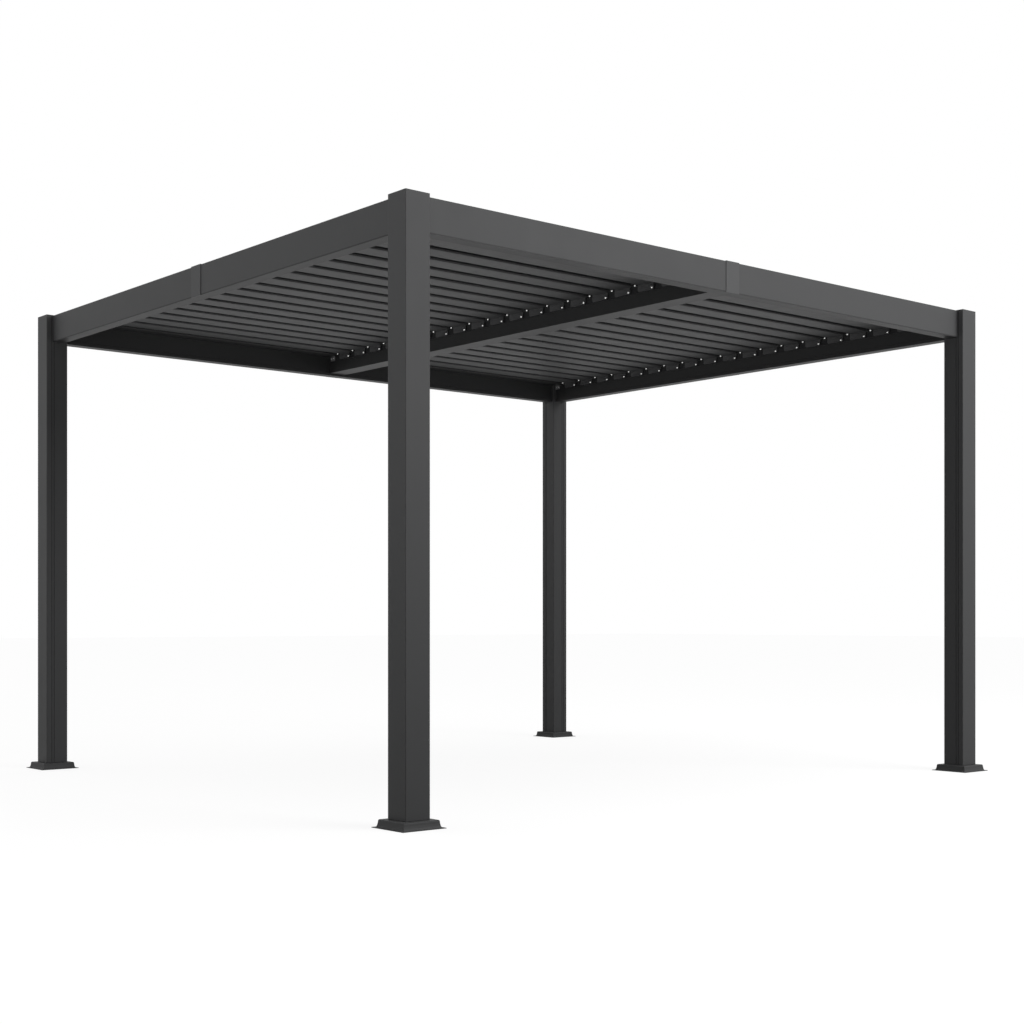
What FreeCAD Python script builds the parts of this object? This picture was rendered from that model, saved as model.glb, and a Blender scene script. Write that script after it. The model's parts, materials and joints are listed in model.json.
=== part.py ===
import FreeCAD, Part
import math
import os
from FreeCAD import Vector

# Free-standing pergola with a roof of tilting louvres, in millimetres.
# X runs along the long side, Y from front to back, Z up from the ground.
# The origin is on the ground under the centre of the roof.

# Overall frame, outside the posts
length = 3690.0
depth = 3310.0
height = 2400.0

# Posts: square tube on a welded base plate, with a flat cap
post_size = 115.0
post_wall = 3.0
post_corner = 3.0
post_cap_thickness = 3.0
cap_skirt_depth = 14.0
cap_skirt_wall = 2.0
track_groove_width = 3.0
track_groove_depth = 1.4
track_groove_near = 28.0
track_groove_far = 41.0
base_plate_size = 160.0
base_plate_thickness = 8.0
anchor_edge_distance = 11.5
anchor_hole_radius = 5.5

# Pressed covers over the base plates
cover_plate_clearance = 10.5
cover_flange_width = 11.0
cover_side_lean = 10.0
cover_height = 32.0
cover_sheet = 2.5
cover_side_profile = ((0.0, 0.0), (0.42, 0.3), (0.62, 0.6), (0.7, 0.84), (0.8, 0.94), (1.0, 1.0))

# Perimeter beams: hollow sections in two halves with a sleeve inside
beam_setback = 35.0
beam_width = 61.0
beam_height = 139.0
beam_wall = 2.5
beam_joint_gap = 0.4
sleeve_length = 320.0
sleeve_wall = 4.0
drip_groove_width = 3.0
drip_groove_depth = 1.2
drip_groove_height = 18.0
joint_cover_width = 85.0
joint_cover_sheet = 2.5
joint_cover_return = 14.0

# Beam between the two bays
centre_beam_width = 107.0
centre_beam_height = 127.0

# Louvres: hollow blades with a gutter along the front edge and a nose over the next gutter
louvre_count = 19
post_swing_clearance = 5.0
back_gutter_inset = 58.0
pivot_drop = 49.0
blade_wall = 1.6
blade_front = 32.0
gutter_floor = 21.0
gutter_corner = 7.0
gutter_lip = 30.0
gutter_back = -4.0
keel_back = 76.0
keel_slope = 14.0
blade_underside = 35.0
blade_top = 44.0
nose_overlap = 20.0
nose_bevel = 4.0
blade_web = 1.6

# End plates, pivot pins and the rails that carry them
end_plate = 3.0
bracket_front = 10.0
bracket_tab_gap = 12.8
bracket_drop = 10.0
bracket_corner = 9.0
tab_clearance = 6.0
tab_width = 12.0
tab_drop = 15.0
weep_radius = 3.0
pin_radius = 4.0
pin_clearance = 0.2
pin_end_play = 1.0
end_gap = 5.0
rail_thickness = 4.0
rail_height = 24.0
rail_end_gap = 22.0

# Fixed strips in front of the first louvre: a sheet on the beam and a trough under the slot
flashing_sheet = 2.0
flashing_seat = 40.0
flashing_clearance = 5.0
trough_lip = 8.0
trough_flange = 24.0
strip_end_gap = 0.3

edge_tolerance = 0.01

# Places worked out from the sizes above
beam_top = height - post_cap_thickness
beam_bottom = beam_top - beam_height
beam_inner = beam_setback + beam_width
half_length = length / 2.0
half_depth = depth / 2.0
half_post = post_size / 2.0
half_plate = base_plate_size / 2.0
anchor_spacing = base_plate_size - 2.0 * anchor_edge_distance
front_face = -half_depth + beam_inner
back_face = half_depth - beam_inner
side_face = half_length - beam_inner
centre_face = centre_beam_width / 2.0
bay_length = side_face - centre_face
pivot_height = beam_top - pivot_drop
swing_reach = max(math.hypot(gutter_back, blade_top), math.hypot(blade_front, gutter_lip))
first_pivot = -half_depth + post_size + post_swing_clearance + swing_reach
gutter_pivot = back_face - back_gutter_inset
pitch = (gutter_pivot - first_pivot) / louvre_count
nose_tip = pitch - blade_front + nose_overlap
tab_back = pitch - blade_front - tab_clearance
tab_front = tab_back - tab_width
bracket_back = tab_front - bracket_tab_gap
louvre_half = bay_length / 2.0 - rail_thickness - end_gap
bay_centres = {"left_bay": -(side_face + centre_face) / 2.0, "right_bay": (side_face + centre_face) / 2.0}


def box(x0, x1, y0, y1, z0, z1):
    return Part.makeBox(x1 - x0, y1 - y0, z1 - z0, Vector(x0, y0, z0))


def wire_yz(points, x):
    corners = [Vector(x, y, z) for y, z in points]
    return Part.makePolygon(corners + corners[:1])


def prism_x(points, x0, x1):
    return Part.Face(wire_yz(points, x0)).extrude(Vector(x1 - x0, 0, 0))


def edges_at(shape, y, z):
    # The edges along X that lie at the given y and z.
    places = [(e, e.CenterOfMass) for e in shape.Edges]
    return [e for e, c in places if abs(c.y - y) < edge_tolerance and abs(c.z - z) < edge_tolerance]


def square_frustum(half_low, z_low, half_high, z_high):
    rings = []
    for half, z in ((half_low, z_low), (half_high, z_high)):
        corners = [Vector(-half, -half, z), Vector(half, -half, z), Vector(half, half, z), Vector(-half, half, z)]
        rings.append(Part.makePolygon(corners + corners[:1]))
    return Part.makeLoft(rings, True, True)


def rounded_square(half, radius, z0, z1):
    block = box(-half, half, -half, half, z0, z1)
    uprights = [e for e in block.Edges if abs(e.Vertexes[0].Z - e.Vertexes[-1].Z) > (z1 - z0) / 2.0]
    return block.makeFillet(radius, uprights)


def post_solid():
    # The tube's inner faces are at +X and +Y, as on the front left corner.
    tube = rounded_square(half_post, post_corner, base_plate_thickness, beam_top)
    bore = half_post - post_wall
    tube = tube.cut(box(-bore, bore, -bore, bore, base_plate_thickness, beam_top))
    half_groove = track_groove_width / 2.0
    floor = half_post - track_groove_depth
    for inset in (track_groove_near, track_groove_far):
        place = -half_post + inset
        tube = tube.cut(box(floor, half_post, place - half_groove, place + half_groove,
                            base_plate_thickness, beam_top))
        tube = tube.cut(box(place - half_groove, place + half_groove, floor, half_post,
                            base_plate_thickness, beam_top))
    plate = box(-half_plate, half_plate, -half_plate, half_plate, 0.0, base_plate_thickness)
    for x in (-anchor_spacing / 2.0, anchor_spacing / 2.0):
        for y in (-anchor_spacing / 2.0, anchor_spacing / 2.0):
            plate = plate.cut(Part.makeCylinder(anchor_hole_radius, base_plate_thickness, Vector(x, y, 0)))
    return plate.fuse(tube).removeSplitter()


def post_cap_solid():
    plate = rounded_square(half_post, post_corner, beam_top, height)
    skirt_outer = half_post - post_wall - strip_end_gap
    skirt_inner = skirt_outer - cap_skirt_wall
    skirt = box(-skirt_outer, skirt_outer, -skirt_outer, skirt_outer, beam_top - cap_skirt_depth, beam_top)
    hollow = box(-skirt_inner, skirt_inner, -skirt_inner, skirt_inner, beam_top - cap_skirt_depth, beam_top)
    return plate.fuse(skirt.cut(hollow)).removeSplitter()


def cover_bell(foot_half, top):
    # Rings at shares of the lean and of the height, joined one above the other.
    rings = [(foot_half - lean * cover_side_lean, rise * top) for lean, rise in cover_side_profile]
    bell = square_frustum(*rings[0], *rings[1])
    for low, high in zip(rings[1:-1], rings[2:]):
        bell = bell.fuse(square_frustum(*low, *high))
    return bell


def foot_cover_solid():
    # A flat flange, hollowed sides and a flat top with a soft shoulder, pressed from one sheet.
    foot_half = half_plate + cover_plate_clearance
    flange_half = foot_half + cover_flange_width
    flange = box(-flange_half, flange_half, -flange_half, flange_half, 0.0, cover_sheet)
    outside = flange.fuse(cover_bell(foot_half, cover_height))
    inside = cover_bell(foot_half - cover_sheet, cover_height - cover_sheet)
    hole = half_post + strip_end_gap
    opening = box(-hole, hole, -hole, hole, 0.0, cover_height)
    return outside.cut(inside).cut(opening).removeSplitter()


def corner_places():
    x = half_length - half_post
    y = half_depth - half_post
    return {
        "front_left": (-x, -y, 0.0),
        "front_right": (x, -y, 90.0),
        "back_right": (x, y, 180.0),
        "back_left": (-x, y, 270.0),
    }


def at_corner(shape, place):
    x, y, turn = place
    turned = shape.copy()
    turned.rotate(Vector(0, 0, 0), Vector(0, 0, 1), turn)
    turned.translate(Vector(x, y, 0))
    return turned


def beam_tube(run, width, low, high, wall):
    # A tube along X whose outer face is at y = 0 and inner face at y = width.
    outside = box(-run / 2.0, run / 2.0, 0.0, width, low, high)
    inside = box(-run / 2.0, run / 2.0, wall, width - wall, low + wall, high - wall)
    return outside.cut(inside)


def perimeter_beam(clear_run):
    # Two halves meet at mid-length round an inner sleeve.
    tube = beam_tube(clear_run, beam_width, beam_bottom, beam_top, beam_wall)
    groove_low = beam_bottom + drip_groove_height
    groove = box(-clear_run / 2.0, clear_run / 2.0, beam_width - drip_groove_depth, beam_width,
                 groove_low, groove_low + drip_groove_width)
    half_gap = beam_joint_gap / 2.0
    slit = box(-half_gap, half_gap, 0.0, beam_width, beam_bottom, beam_top)
    halves = tube.cut(groove).cut(slit)
    fit = beam_wall + strip_end_gap
    sleeve = beam_tube(sleeve_length, beam_width - 2.0 * fit, beam_bottom + fit, beam_top - fit, sleeve_wall)
    sleeve.translate(Vector(0, fit, 0))
    return Part.makeCompound(halves.Solids + [sleeve])


def joint_cover():
    # A plate on the outer face that hooks over the top edge and stops flush with the bottom.
    half = joint_cover_width / 2.0
    outside = box(-half, half, -joint_cover_sheet, joint_cover_return, beam_bottom, beam_top + joint_cover_sheet)
    inside = box(-half, half, 0.0, joint_cover_return, beam_bottom, beam_top)
    return outside.cut(inside)


def on_each_side(along_front, along_side):
    # Shapes drawn along X with their outer face at y = 0, placed on the four sides.
    sides = {}
    for name, shape, turn, x, y in (
        ("front", along_front, 0.0, 0.0, -half_depth + beam_setback),
        ("right", along_side, 90.0, half_length - beam_setback, 0.0),
        ("back", along_front, 180.0, 0.0, half_depth - beam_setback),
        ("left", along_side, 270.0, -half_length + beam_setback, 0.0),
    ):
        placed = shape.copy()
        placed.rotate(Vector(0, 0, 0), Vector(0, 0, 1), turn)
        placed.translate(Vector(x, y, 0))
        sides[name] = placed
    return sides


def centre_beam():
    low = beam_top - centre_beam_height
    outside = box(-centre_face, centre_face, front_face, back_face, low, beam_top)
    inside = box(-centre_face + beam_wall, centre_face - beam_wall, front_face, back_face,
                 low + beam_wall, beam_top - beam_wall)
    return outside.cut(inside)


def gutter_outline():
    # The open trough along a blade's front edge, from the pivot line.
    front = -blade_front
    return [
        (front, gutter_floor),
        (gutter_back + blade_wall, gutter_floor),
        (gutter_back + blade_wall, gutter_floor + blade_wall),
        (front + blade_wall, gutter_floor + blade_wall),
        (front + blade_wall, gutter_lip),
        (front, gutter_lip),
    ]


def gutter_solid(half):
    # A trough as long as twice the half given, with its lower front corner rounded.
    trough = prism_x(gutter_outline(), -half, half)
    for inset, radius in ((blade_wall, gutter_corner - blade_wall), (0.0, gutter_corner)):
        trough = trough.makeFillet(radius, edges_at(trough, inset - blade_front, inset + gutter_floor))
    return trough


def hollow_outline():
    # The closed part of a blade: a deeper keel behind the trough, then a flat panel to the nose.
    return [
        (gutter_back, gutter_floor),
        (keel_back, gutter_floor),
        (keel_back + keel_slope, blade_underside),
        (nose_tip, blade_underside),
        (nose_tip, blade_top - nose_bevel),
        (nose_tip - nose_bevel, blade_top),
        (gutter_back, blade_top),
    ]


def end_plate_outline():
    # Closes the hollow and hangs below it as a bracket that holds the pivot pin.
    tab_low = blade_underside - tab_drop
    return [
        (-bracket_front, -bracket_drop),
        (bracket_back, -bracket_drop),
        (bracket_back, blade_underside),
        (tab_front, blade_underside),
        (tab_front, tab_low),
        (tab_back, tab_low),
        (tab_back, blade_underside),
        (nose_tip, blade_underside),
        (nose_tip, blade_top - nose_bevel),
        (nose_tip - nose_bevel, blade_top),
        (gutter_back, blade_top),
        (gutter_back, gutter_floor + blade_wall),
        (-bracket_front, gutter_floor + blade_wall),
    ]


def end_plate_solid():
    plate = prism_x(end_plate_outline(), 0.0, end_plate)
    low_edges = [e for e in plate.Edges
                 if abs(e.Vertexes[0].X - e.Vertexes[-1].X) > end_plate / 2.0
                 and e.CenterOfMass.z < -bracket_drop / 2.0]
    plate = plate.makeFillet(bracket_corner, low_edges)
    for y in (gutter_back + keel_back / 2.0, (bracket_back + nose_tip) / 2.0):
        z = (blade_underside + blade_top) / 2.0
        plate = plate.cut(Part.makeCylinder(weep_radius, end_plate, Vector(0, y, z), Vector(1, 0, 0)))
    pin_length = end_gap + rail_thickness - pin_end_play
    pin = Part.makeCylinder(pin_radius, pin_length, Vector(end_plate, 0, 0), Vector(1, 0, 0))
    return plate.fuse(pin)


def louvre_solid():
    # Centred on x = 0 with the pivot line along the X axis.
    inner_half = louvre_half - end_plate
    gutter = gutter_solid(inner_half)
    hollow = prism_x(hollow_outline(), -inner_half, inner_half)
    cavity_wire = wire_yz(hollow_outline(), -inner_half).makeOffset2D(-blade_wall, 2)
    cavity = Part.Face(cavity_wire).extrude(Vector(2.0 * inner_half, 0, 0))
    web_front = keel_back + keel_slope
    web = box(-inner_half, inner_half, web_front, web_front + blade_web, gutter_floor, blade_top)
    blade = hollow.cut(cavity.cut(web)).fuse(gutter)
    right_end = end_plate_solid()
    right_end.translate(Vector(inner_half, 0, 0))
    left_end = right_end.mirror(Vector(0, 0, 0), Vector(1, 0, 0))
    return blade.fuse([right_end, left_end]).removeSplitter()


def bearing_rail():
    # A strip along Y with one bearing hole for each louvre, its back face at x = 0.
    start = front_face + rail_end_gap
    end = gutter_pivot - blade_front - rail_end_gap
    low = pivot_height - rail_height / 2.0
    rail = box(-rail_thickness, 0.0, start, end, low, low + rail_height)
    for number in range(louvre_count):
        centre = Vector(-rail_thickness, first_pivot + number * pitch, pivot_height)
        rail = rail.cut(Part.makeCylinder(pin_radius + pin_clearance, rail_thickness, centre, Vector(1, 0, 0)))
    return rail


def bay_rails(bay_centre):
    right = bearing_rail()
    right.translate(Vector(bay_length / 2.0, 0, 0))
    left = right.mirror(Vector(0, 0, 0), Vector(1, 0, 0))
    rails = Part.makeCompound([left, right])
    rails.translate(Vector(bay_centre, 0, 0))
    return rails


def notched_round_posts(strip):
    # The posts stand proud of the beams' inner faces, so the strips are notched at the corners.
    reach = half_post + strip_end_gap
    for x, y, turn in corner_places().values():
        strip = strip.cut(box(x - reach, x + reach, y - reach, y + reach, beam_bottom, height))
    return strip


def front_flashing(bay_centre):
    # A sheet on the front beam that ends just clear of the first louvre when it stands upright.
    half = bay_length / 2.0 - strip_end_gap
    nose = first_pivot - blade_top - flashing_clearance
    sheet = box(bay_centre - half, bay_centre + half, front_face - flashing_seat, nose,
                beam_top, beam_top + flashing_sheet)
    return notched_round_posts(sheet)


def front_gutter(bay_centre):
    # A fixed trough on the front beam's inner face, under the slot before the first louvre.
    half = bay_length / 2.0 - strip_end_gap
    reach = front_face - first_pivot
    floor = -blade_front - flashing_clearance - blade_wall
    outline = [
        (reach, floor),
        (0.0, floor),
        (0.0, floor + trough_lip),
        (-blade_wall, floor + trough_lip),
        (-blade_wall, floor + blade_wall),
        (reach + blade_wall, floor + blade_wall),
        (reach + blade_wall, floor + trough_flange),
        (reach, floor + trough_flange),
    ]
    strip = prism_x(outline, -half, half)
    strip.translate(Vector(bay_centre, first_pivot, pivot_height))
    return notched_round_posts(strip)


def back_gutter(bay_centre):
    # A fixed trough on the back beam that catches the last louvre's nose.
    half = bay_length / 2.0 - strip_end_gap
    reach = back_face - gutter_pivot
    outline = [
        (gutter_back, gutter_floor),
        (reach, gutter_floor),
        (reach, blade_top),
        (gutter_back, blade_top),
    ]
    trough = gutter_solid(half)
    closed = prism_x(outline, -half, half)
    hollow = Part.Face(wire_yz(outline, -half).makeOffset2D(-blade_wall, 2)).extrude(Vector(2.0 * half, 0, 0))
    strip = closed.cut(hollow).fuse(trough).removeSplitter()
    strip.translate(Vector(bay_centre, gutter_pivot, pivot_height))
    return notched_round_posts(strip)


def build():
    nodes = {}
    corners = corner_places()
    post = post_solid()
    cover = foot_cover_solid()
    cap = post_cap_solid()
    for corner, place in corners.items():
        nodes[corner + "_post"] = at_corner(post, place)
        nodes[corner + "_foot_cover"] = at_corner(cover, place)
    nodes["post_caps"] = Part.makeCompound([at_corner(cap, place) for place in corners.values()])

    beams = on_each_side(perimeter_beam(length - 2.0 * post_size), perimeter_beam(depth - 2.0 * post_size))
    for side, shape in beams.items():
        nodes[side + "_beam"] = shape
    plates = on_each_side(joint_cover(), joint_cover())
    nodes["beam_joint_covers"] = Part.makeCompound(list(plates.values()))
    nodes["centre_beam"] = centre_beam()

    louvre = louvre_solid()
    for bay, bay_centre in bay_centres.items():
        nodes[bay + "_bearing_rails"] = bay_rails(bay_centre)
        for number in range(louvre_count):
            blade = louvre.copy()
            blade.translate(Vector(bay_centre, first_pivot + number * pitch, pivot_height))
            nodes[f"{bay}_louvre_{number + 1:02d}"] = blade
    nodes["front_flashings"] = Part.makeCompound([front_flashing(x) for x in bay_centres.values()])
    nodes["front_gutters"] = Part.makeCompound([front_gutter(x) for x in bay_centres.values()])
    nodes["back_gutters"] = Part.makeCompound([back_gutter(x) for x in bay_centres.values()])
    return nodes


os.makedirs("parts", exist_ok=True)
for node, shape in build().items():
    shape.exportStep(f"parts/{node}.step")
    print(node, "solids", len(shape.Solids), "volume cm3", round(shape.Volume / 1000.0, 1), "valid", shape.isValid())
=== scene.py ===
import json
import math
import bpy
import numpy as np
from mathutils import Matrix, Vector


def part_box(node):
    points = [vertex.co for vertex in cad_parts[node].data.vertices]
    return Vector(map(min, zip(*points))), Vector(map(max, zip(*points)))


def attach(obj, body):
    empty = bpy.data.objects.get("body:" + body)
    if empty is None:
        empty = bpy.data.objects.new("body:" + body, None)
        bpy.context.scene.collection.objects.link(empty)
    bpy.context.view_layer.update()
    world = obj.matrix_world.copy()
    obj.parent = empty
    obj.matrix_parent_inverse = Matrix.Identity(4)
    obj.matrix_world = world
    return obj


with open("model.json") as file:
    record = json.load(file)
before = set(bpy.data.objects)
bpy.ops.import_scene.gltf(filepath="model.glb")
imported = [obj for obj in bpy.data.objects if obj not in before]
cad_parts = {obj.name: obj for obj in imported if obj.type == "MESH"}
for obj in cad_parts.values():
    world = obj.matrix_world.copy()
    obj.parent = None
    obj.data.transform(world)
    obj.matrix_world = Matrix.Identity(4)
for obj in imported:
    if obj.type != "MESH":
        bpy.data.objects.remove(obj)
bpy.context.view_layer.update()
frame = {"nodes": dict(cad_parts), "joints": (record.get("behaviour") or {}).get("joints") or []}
scene = bpy.context.scene
scene.view_settings.view_transform = "Standard"


class Sock:
    # a node's output, written in sums like a number
    def __init__(self, tree, socket):
        self.tree = tree
        self.socket = socket

    def maths(self, operation, *values, clamp=False):
        node = self.tree.nodes.new("ShaderNodeMath")
        node.operation = operation
        node.use_clamp = clamp
        for place, value in enumerate(values):
            if isinstance(value, Sock):
                self.tree.links.new(value.socket, node.inputs[place])
            else:
                node.inputs[place].default_value = value
        return Sock(self.tree, node.outputs[0])

    def __add__(self, other):
        return self.maths("ADD", self, other)

    def __radd__(self, other):
        return self.maths("ADD", other, self)

    def __sub__(self, other):
        return self.maths("SUBTRACT", self, other)

    def __rsub__(self, other):
        return self.maths("SUBTRACT", other, self)

    def __mul__(self, other):
        return self.maths("MULTIPLY", self, other)

    def __rmul__(self, other):
        return self.maths("MULTIPLY", other, self)

    def __truediv__(self, other):
        return self.maths("DIVIDE", self, other)

    def __rtruediv__(self, other):
        return self.maths("DIVIDE", other, self)

    def above(self, other):
        return self.maths("GREATER_THAN", self, other)

    def within(self, low, high):
        return self.above(low) * (1.0 - self.above(high))

    def near(self, middles, half):
        # 1 within half of either of two middles
        first, second = (self.within(middle - half, middle + half) for middle in middles)
        return first.biggest(second)

    def biggest(self, other):
        return self.maths("MAXIMUM", self, other)

    def clamped(self):
        return self.maths("ADD", self, 0.0, clamp=True)

    def size(self):
        return self.maths("ABSOLUTE", self)

    def rest(self):
        return self.maths("FRACT", self)


class Nodes:
    def __init__(self, owner):
        owner.use_nodes = True
        self.tree = owner.node_tree
        self.tree.nodes.clear()

    def add(self, kind, settings=None, out=0, **sockets):
        # a socket is given by its name, or by its number after an underscore
        node = self.tree.nodes.new(kind)
        for name, value in (settings or {}).items():
            if name == "stops":
                self.setStops(node.color_ramp, value)
            else:
                setattr(node, name, value)
        for name, value in sockets.items():
            key = int(name[1:]) if name[0] == "_" else name.replace("_", " ")
            if isinstance(value, Sock):
                self.tree.links.new(value.socket, node.inputs[key])
            else:
                node.inputs[key].default_value = value
        return Sock(self.tree, node.outputs[out])

    def setStops(self, ramp, stops):
        for place, (position, colour) in enumerate(stops):
            stop = ramp.elements[place] if place < 2 else ramp.elements.new(position)
            stop.position = position
            stop.color = (*colour, 1.0)

    def mix(self, share, first, second):
        return self.add("ShaderNodeMix", {"data_type": "RGBA"}, out=2, _0=share, _6=first, _7=second)

    def axes(self, vector):
        return [self.add("ShaderNodeSeparateXYZ", out=k, Vector=vector) for k in range(3)]

    def finish(self, kind, result):
        out = self.tree.nodes.new(kind)
        self.tree.links.new(result, out.inputs[0])

    def surface(self, plain, varying):
        shader = self.tree.nodes.new("ShaderNodeBsdfPrincipled")
        for name, value in plain.items():
            shader.inputs[name].default_value = value
        for name, value in varying.items():
            self.tree.links.new(value.socket, shader.inputs[name])
        self.finish("ShaderNodeOutputMaterial", shader.outputs[0])


# camera at the photograph's place
cameraLook = {"place": (-5.354, -6.442, 0.787), "turn": -40.08, "lens": 55.754, "shiftY": 0.10552,
              "sensor": 36.0, "reach": 200.0}
cameraData = bpy.data.cameras.new("camera")
camera = bpy.data.objects.new("camera", cameraData)
scene.collection.objects.link(camera)
camera.location = cameraLook["place"]
camera.rotation_euler = (math.radians(90.0), 0.0, math.radians(cameraLook["turn"]))
cameraData.sensor_width = cameraLook["sensor"]
cameraData.lens = cameraLook["lens"]
cameraData.shift_y = cameraLook["shiftY"]
cameraData.clip_end = cameraLook["reach"]
scene.camera = camera
print("camera placed")


# places of the louvres, posts and beams, read from the frame, in metres from under the roof's middle
pivots = {joint["child"]: joint["pos_m"] for joint in frame["joints"]}
louvreCount = len(pivots) // 2  # in each bay
firstPivot, pivotHeight = pivots["left_bay_louvre_01"][1:]
louvrePitch = (pivots[f"left_bay_louvre_{louvreCount:02d}"][1] - firstPivot) / (louvreCount - 1)
railBoxes = {bay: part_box(bay + "_bearing_rails") for bay in ("left_bay", "right_bay")}
bayMiddles = {bay: (left[0] + right[0]) / 2.0 for bay, (left, right) in railBoxes.items()}
wallReach = railBoxes["left_bay"][1][0] - bayMiddles["left_bay"]  # from a bay's middle to the beams' faces
plateGap = 0.012  # from the beams' faces to the inner faces of the end plates
plateStart = wallReach - plateGap
leftBeam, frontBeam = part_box("left_beam")[1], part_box("front_beam")[1]
beamFace = (-leftBeam[0], -frontBeam[1])  # the beams' inner faces along x and y
postFace = (frontBeam[0], leftBeam[1])  # the posts' inner faces along x and y

# the rails' colour is darker than the frame's: partly their own dark coat, partly painted shade for their
# place inside the roof
paintLook = {"frame": (0.050, 0.0505, 0.0515), "louvre": (0.052, 0.0525, 0.0535),
             "rail": (0.020, 0.020, 0.021), "cover": (0.0610, 0.06161, 0.06283),
             "bracket": (0.16, 0.16, 0.162), "roughness": 0.55, "railRoughness": 0.5,
             "bracketRoughness": 0.45, "specular": 0.18}
# powder coat: peel is cured orange peel, flow thicker and thinner film, haze faint dust and handling
coatLook = {"peel": {"Scale": 290.0, "Detail": 2.0, "Roughness": 0.55}, "peelTone": 0.18, "peelGloss": 0.08,
            "flow": {"Scale": 5.5, "Detail": 3.0, "Roughness": 0.6}, "flowTone": 0.16, "flowGloss": 0.10,
            "haze": {"Scale": 1.3, "Detail": 2.0, "Roughness": 0.5}, "hazeTone": 0.12,
            "thin": 0.86, "thick": 1.16, "bump": 0.35, "bumpDepth": 0.00022}


def solid(colour, gain=1.0):
    return (*(c * gain for c in colour), 1.0)


def coatColour(n, place, colour):
    look = coatLook
    peel, flow, haze = (n.add("ShaderNodeTexNoise", Vector=place, **look[kind])
                        for kind in ("peel", "flow", "haze"))
    tone = ((flow - 0.5) * look["flowTone"] + (haze - 0.5) * look["hazeTone"]
            + (peel - 0.5) * look["peelTone"] + 0.5)
    coat = n.mix(tone.clamped(), solid(colour, look["thin"]), solid(colour, look["thick"]))
    return coat, peel, flow


def coatGloss(peel, flow, roughness):
    return (flow - 0.5) * coatLook["flowGloss"] + (peel - 0.5) * coatLook["peelGloss"] + roughness


def coatBump(n, height):
    return n.add("ShaderNodeBump", Strength=coatLook["bump"], Distance=coatLook["bumpDepth"], Height=height)


# painted shade: thin shadow lines and darker sheltered faces of the frame, in metres from under the roof's
# middle
shadeLook = {"centre": 0.06, "seat": 0.0005, "depth": 0.003,
            "drip": (2.2755, 2.2795), "edge": (2.2575, 2.2636), "edgeShade": 0.9,
            "foot": (0.0321, 0.0342), "tracksX": (1.817, 1.804), "tracksY": (1.627, 1.614),
            "trackHalf": 0.0018, "dark": 0.38, "inner": (2.2585, 2.3965), "innerShade": 0.75,
            "soffit": (2.2500, 2.2584), "soffitShade": 0.7}


def frameShadeMask(n, place):
    # 1 for painted shade in the drip grooves, the posts' track grooves and round each foot cover, and less
    # painted shade on the beams' lower edges, inner faces and undersides
    x, y, z = (axis.size() for axis in n.axes(place))
    look = shadeLook
    deep = look["depth"]
    postX, postY = (face - look["seat"] for face in postFace)
    post = x.above(postX) * y.above(postY)
    beam = 1.0 - post
    inside = (1.0 - x.above(beamFace[0] + deep)) * (1.0 - y.above(beamFace[1] + deep))
    drip = z.within(*look["drip"]) * inside * beam * x.above(look["centre"])
    edge = z.within(*look["edge"]) * (1.0 - inside) * beam * look["edgeShade"]
    foot = z.within(*look["foot"])
    tracksX = x.near(look["tracksX"], look["trackHalf"]) * (1.0 - y.above(postY + deep))
    tracksY = y.near(look["tracksY"], look["trackHalf"]) * (1.0 - x.above(postX + deep))
    paintedShade = drip + edge + foot + (tracksX + tracksY) * post
    inner = z.within(*look["inner"]) * inside * beam * look["innerShade"]
    soffit = z.within(*look["soffit"]) * beam * look["soffitShade"]
    return paintedShade.biggest(inner).biggest(soffit).clamped()


def powderCoat(name, colour, roughness, paintedShade=False):
    material = bpy.data.materials.new(name)
    n = Nodes(material)
    place = n.add("ShaderNodeTexCoord", out=3)
    coat, peel, flow = coatColour(n, place, colour)
    if paintedShade:
        # painted shade: the frame's coat darkened in its grooves, along its lower edges and on its
        # sheltered faces
        coat = n.mix(frameShadeMask(n, place), coat, solid(colour, shadeLook["dark"]))
    n.surface({"Specular IOR Level": paintLook["specular"]},
              {"Base Color": coat, "Roughness": coatGloss(peel, flow, roughness),
               "Normal": coatBump(n, peel)})
    return material


# blades with painted light on their undersides, paler towards the back of each, and end plates of bare cast
# metal
bladeLook = {"front": 0.032, "underside": 0.0358, "flat": 0.0205, "plateStep": 0.0002, "backGain": 1.7,
             "bracket": (0.10, 0.10, 0.102), "bracketMetal": 0.3, "bracketGloss": 0.2,
             "grit": {"Scale": 900.0, "Detail": 2.0, "Roughness": 0.6}}


def louvreCoat(name, bayMiddle):
    material = bpy.data.materials.new(name)
    n = Nodes(material)
    place = n.add("ShaderNodeTexCoord", out=3)
    x, y, z = n.axes(place)
    look = bladeLook
    coat, peel, flow = coatColour(n, place, paintLook["louvre"])
    across = ((y - firstPivot + look["front"]) / louvrePitch).rest()  # 0 at a blade's front, 1 at the next
    under = 1.0 - z.above(pivotHeight + look["underside"])
    # painted light: the underside's coat made paler towards the back of each blade
    coat = n.mix((across * under).clamped(), coat, solid(paintLook["louvre"], look["backGain"]))
    plate = (x - bayMiddle).size().above(plateStart + look["plateStep"])
    bare = plate * (1.0 - z.above(pivotHeight + look["flat"]))
    grit = n.add("ShaderNodeTexNoise", Vector=place, **look["grit"])
    gloss = coatGloss(peel, flow, paintLook["roughness"]) + bare * (grit * look["bracketGloss"])
    n.surface({"Specular IOR Level": paintLook["specular"]},
              {"Base Color": n.mix(bare, coat, solid(look["bracket"])),
               "Metallic": bare * look["bracketMetal"], "Roughness": gloss,
               "Normal": coatBump(n, peel + bare * grit)})
    return material


# stainless heads with a fine turned finish
steelLook = {"brush": {"Scale": 1400.0, "Detail": 2.0, "Roughness": 0.6}, "dull": (0.84, 0.84, 0.83),
             "bright": (0.97, 0.97, 0.96), "roughness": 0.14, "brushGloss": 0.20,
             "bump": 0.25, "bumpDepth": 0.00008}


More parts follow.
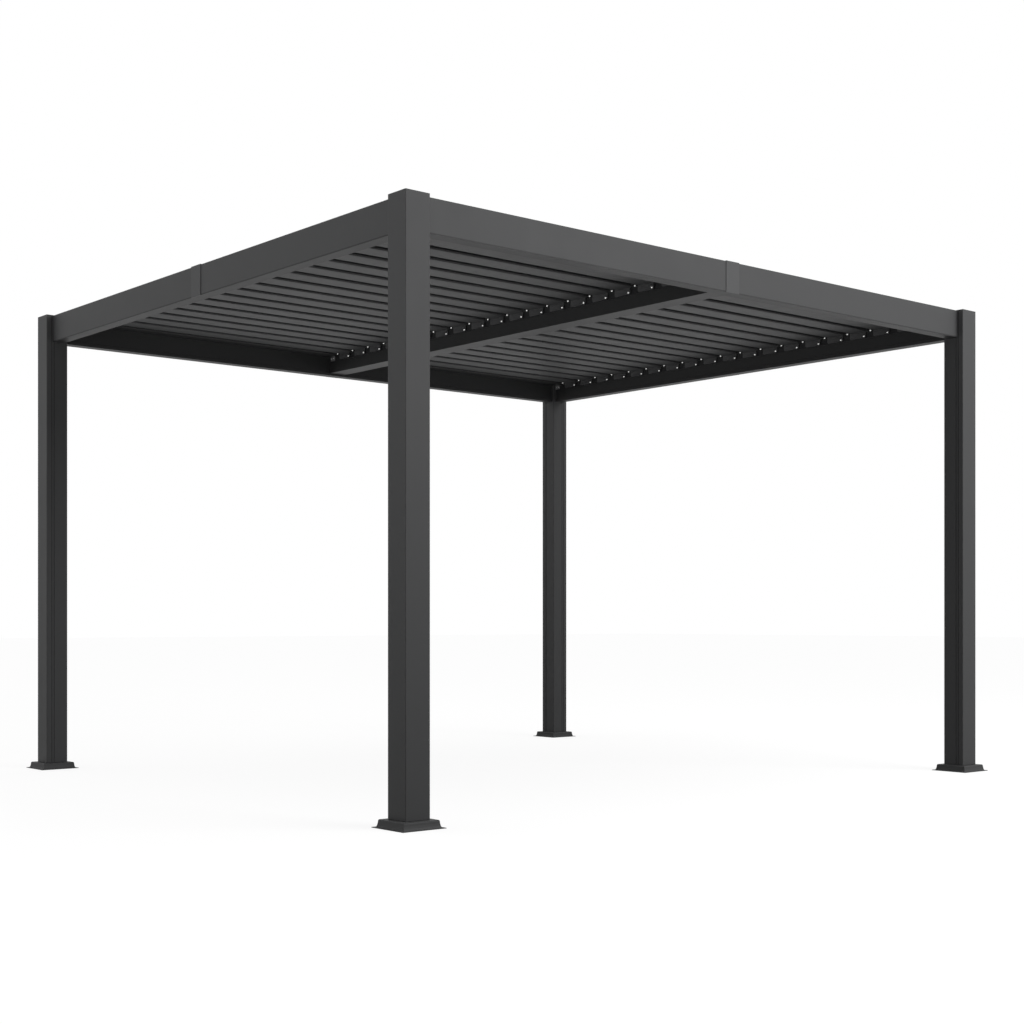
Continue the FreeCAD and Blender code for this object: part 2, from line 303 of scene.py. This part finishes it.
def stainless(name):
    material = bpy.data.materials.new(name)
    n = Nodes(material)
    look = steelLook
    brush = n.add("ShaderNodeTexNoise", Vector=n.add("ShaderNodeTexCoord", out=3), **look["brush"])
    bump = n.add("ShaderNodeBump", Strength=look["bump"], Distance=look["bumpDepth"], Height=brush)
    n.surface({"Metallic": 1.0}, {"Base Color": n.mix(brush, solid(look["dull"]), solid(look["bright"])),
              "Roughness": brush * look["brushGloss"] + look["roughness"], "Normal": bump})
    return material


framePaint = powderCoat("framePaint", paintLook["frame"], paintLook["roughness"], paintedShade=True)
coverPaint = powderCoat("coverPaint", paintLook["cover"], paintLook["roughness"])
# rails: a darker copy of the powder coat, partly their own dark colour and partly painted shade inside the
# roof
railMetal = powderCoat("railMetal", paintLook["rail"], paintLook["railRoughness"])
bracketMetal = powderCoat("bracketMetal", paintLook["bracket"], paintLook["bracketRoughness"])
steel = stainless("steel")
louvrePaints = {bay: louvreCoat(bay + "LouvrePaint", middle) for bay, middle in bayMiddles.items()}
for node, thing in frame["nodes"].items():
    paint = framePaint
    if "_louvre" in node:
        paint = louvrePaints[node[:node.index("_louvre")]]
    if "rails" in node:
        paint = railMetal
    if "joint_covers" in node:
        paint = coverPaint
    thing.data.materials.clear()
    thing.data.materials.append(paint)
print("materials on", len(frame["nodes"]), "frame parts")


def ringFaces(sides, count, start):
    # four-sided faces between neighbouring rings of points, and a cap on the first and the last ring
    here = np.arange(sides) + start
    after = np.roll(here, -1)
    walls = [np.stack([here, after, after + sides, here + sides], axis=1) + k * sides
             for k in range(count - 1)]
    caps = [here[::-1].tolist(), (here + (count - 1) * sides).tolist()]
    return np.concatenate(walls).tolist() + caps


def addPiece(name, points, faces, material, body):
    mesh = bpy.data.meshes.new(name)
    mesh.from_pydata(np.concatenate(points).tolist(), [], faces)
    mesh.update()
    mesh.materials.append(material)
    piece = bpy.data.objects.new(name, mesh)
    scene.collection.objects.link(piece)
    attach(piece, body)


# screw and pin heads: a profile of (radius, height) shares, turned round, with a socket in its middle
headLook = {"sides": 12,
            "profile": ((1.0, 0.0), (1.0, 0.28), (0.86, 0.62), (0.52, 0.92), (0.34, 1.0), (0.26, 0.55))}


def addHeads(name, body, places, radius, height):
    # a place is a point on a face, and the direction that the face looks along one axis
    sides = headLook["sides"]
    rings = np.array(headLook["profile"]) * (radius, height)
    turn = np.arange(sides) * (2.0 * math.pi / sides)
    across = rings[:, None, 0] * np.cos(turn)[None]
    along = rings[:, None, 0] * np.sin(turn)[None]
    rise = np.repeat(rings[:, 1][:, None], sides, axis=1)
    shape = np.stack([across, along, rise], axis=-1).reshape(-1, 3)
    points, faces = [], []
    for place, facing in places:
        axis = int(np.argmax(np.abs(facing)))
        sign = facing[axis]
        turned = np.empty_like(shape)
        turned[:, axis] = shape[:, 2] * sign
        turned[:, (axis + 1) % 3] = shape[:, 0]
        turned[:, (axis + 2) % 3] = shape[:, 1] * sign
        faces += ringFaces(sides, len(rings), len(points) * len(shape))
        points.append(turned + np.array(place))
    addPiece(name, points, faces, steel, body)


# each end plate shows the head of its pivot pin and of the screw in its tab, from the pivot
pinLook = {"heads": ((0.0, 0.0), (0.1135, 0.0262)), "seat": 0.0001, "radius": 0.0058, "height": 0.0045}
for louvre, (_, y, z) in pivots.items():
    bay, number = louvre.split("_louvre_")
    places = []
    for side in (-1.0, 1.0):
        face = bayMiddles[bay] + side * (plateStart + pinLook["seat"])
        for back, up in pinLook["heads"]:
            places.append(((face, y + back, z + up), (-side, 0.0, 0.0)))
    addHeads(f"{bay}_pin_heads_{number}", louvre, places, pinLook["radius"], pinLook["height"])
print("pin heads placed")


# screws that hold the bearing rails between the bearings, and the back gutters' end brackets
railLook = {"thick": 0.004, "every": 2, "radius": 0.0038, "height": 0.0018}
endLook = {"y": 1.5225, "z": 2.353, "half": (0.0225, 0.0150), "thick": 0.003,
           "rim": 0.7, "flat": 0.95, "sides": 28, "square": 6.0, "screws": (-0.012, 0.012),
           "radius": 0.0036, "height": 0.0020}


def addBrackets(name, middles):
    # a plate outlined by |a|^p + |b|^p = 1, whose rim slopes in to a smaller flat face
    look = endLook
    sides = look["sides"]
    turn = np.arange(sides) * (2.0 * math.pi / sides)
    power = 2.0 / look["square"]
    a = np.sign(np.cos(turn)) * np.abs(np.cos(turn)) ** power * look["half"][0]
    b = np.sign(np.sin(turn)) * np.abs(np.sin(turn)) ** power * look["half"][1]
    levels = ((0.0, 1.0), (look["thick"] * look["rim"], 1.0), (look["thick"], look["flat"]))
    points, faces = [], []
    for x, facing in middles:
        faces += ringFaces(sides, len(levels), sides * len(points))
        for out, share in levels:
            wall = np.full(sides, x + facing * out)
            points.append(np.stack([wall, look["y"] + a * share * facing, look["z"] + b * share], axis=-1))
    addPiece(name, points, faces, bracketMetal, "frame")


for bay, middle in bayMiddles.items():
    rows = range(0, louvreCount - 1, railLook["every"])
    reach = wallReach - railLook["thick"]
    places = [((middle + side * reach, firstPivot + (row + 0.5) * louvrePitch, pivotHeight),
               (-side, 0.0, 0.0)) for side in (-1.0, 1.0) for row in rows]
    addHeads(f"{bay}_rail_screws", "frame", places, railLook["radius"], railLook["height"])
    addBrackets(f"{bay}_gutter_brackets", [(middle + side * wallReach, -side) for side in (-1.0, 1.0)])
    reach = wallReach - endLook["thick"]
    places = [((middle + side * reach, endLook["y"] + shift, endLook["z"]), (-side, 0.0, 0.0))
              for side in (-1.0, 1.0) for shift in endLook["screws"]]
    addHeads(f"{bay}_gutter_screws", "frame", places, endLook["radius"], endLook["height"])
print("rail screws and gutter brackets placed")


# a soft studio: levels by how far a direction rises, and by the floor's distance from the middle
studioLook = {"rises": (0.0, 0.12, 0.30, 0.60, 1.0), "overhead": (0.0, 0.0, 0.0, 0.6, 0.9),
              "lowBand": (0.0, 1.0, 0.0, 0.0, 0.0), "highBand": (0.0, 0.0, 1.0, 0.0, 0.0),
              "left": 0.5, "back": 2.4, "reachUnit": 0.05, "reaches": (0.0, 0.1, 0.175, 0.3, 0.6),
              "ground": (0.0, 0.0, 0.0, 0.3, 2.1), "brightest": 5.0}
lampLook = {"place": (3.0, -8.0, 4.5), "aim": (0.5, 0.0, 1.6), "size": (6.0, 3.0), "power": 470.0}
floorLook = {"span": 60.0, "drop": 0.0005, "glow": 0.84, "shadow": 0.2}


def notSeen(n):
    # 1 for rays that light the object, 0 for what the camera sees itself or mirrored in gloss or glass
    rays = n.tree.nodes.new("ShaderNodeLightPath")
    names = ("Is Camera Ray", "Is Glossy Ray", "Is Transmission Ray")
    straight, gloss, glass = (Sock(n.tree, rays.outputs[name]) for name in names)
    return 1.0 - straight.biggest(gloss).biggest(glass)


def levelAlong(n, amount, stops, levels):
    top = studioLook["brightest"]  # a ramp holds shares of this
    shares = [(stop, (level / top,) * 3) for stop, level in zip(stops, levels)]
    ramp = n.add("ShaderNodeValToRGB", {"stops": shares}, Fac=amount)
    return n.add("ShaderNodeSeparateXYZ", Vector=ramp) * top


white = (1.0, 1.0, 1.0, 1.0)
world = bpy.data.worlds.new("studio")
scene.world = world
w = Nodes(world)
lit = notSeen(w)
toX, toY, rise = w.axes(w.add("ShaderNodeTexCoord", out=0))
rise = rise.clamped()
overhead, lowBand, highBand = (levelAlong(w, rise, studioLook["rises"], studioLook[band])
                               for band in ("overhead", "lowBand", "highBand"))
level = (overhead + lowBand * ((0.0 - toX).clamped() * studioLook["left"])
         + highBand * (toY.clamped() * studioLook["back"]))
sky = w.add("ShaderNodeBackground", Color=white, Strength=lit * level + (1.0 - lit))
w.finish("ShaderNodeOutputWorld", sky.socket)

lampData = bpy.data.lights.new("frontLight", "AREA")
lampData.shape = "RECTANGLE"
lampData.size, lampData.size_y = lampLook["size"]
lampData.energy = lampLook["power"]
lamp = bpy.data.objects.new("frontLight", lampData)
scene.collection.objects.link(lamp)
lamp.visible_camera = False
lamp.location = lampLook["place"]
way = np.array(lampLook["aim"]) - np.array(lampLook["place"])
tilt = math.atan2(math.hypot(way[0], way[1]), -way[2])
lamp.rotation_euler = (tilt, 0.0, math.atan2(way[1], way[0]) - math.pi / 2.0)

# pale floor that keeps a soft shadow of the object
span, drop = floorLook["span"], floorLook["drop"]
floorMesh = bpy.data.meshes.new("floor")
corners = [(-span, -span, -drop), (span, -span, -drop), (span, span, -drop), (-span, span, -drop)]
floorMesh.from_pydata(corners, [], [(0, 1, 2, 3)])
floor = bpy.data.objects.new("floor", floorMesh)
scene.collection.objects.link(floor)
floorPaint = bpy.data.materials.new("paleFloor")
f = Nodes(floorPaint)
place = f.add("ShaderNodeTexCoord", out=3)
reach = f.add("ShaderNodeVectorMath", {"operation": "LENGTH"}, out=1, _0=place) * studioLook["reachUnit"]
level = levelAlong(f, reach.clamped(), studioLook["reaches"], studioLook["ground"])
bounce = f.add("ShaderNodeEmission", Color=white, Strength=level)
glow = f.add("ShaderNodeEmission", Color=white, Strength=floorLook["glow"])
matt = f.add("ShaderNodeBsdfDiffuse", Color=(*(floorLook["shadow"],) * 3, 1.0))
pale = f.add("ShaderNodeAddShader", _0=glow, _1=matt)
floorSkin = f.add("ShaderNodeMixShader", _0=notSeen(f), _1=pale, _2=bounce)
f.finish("ShaderNodeOutputMaterial", floorSkin.socket)
floorMesh.materials.append(floorPaint)
print("light and floor ready")
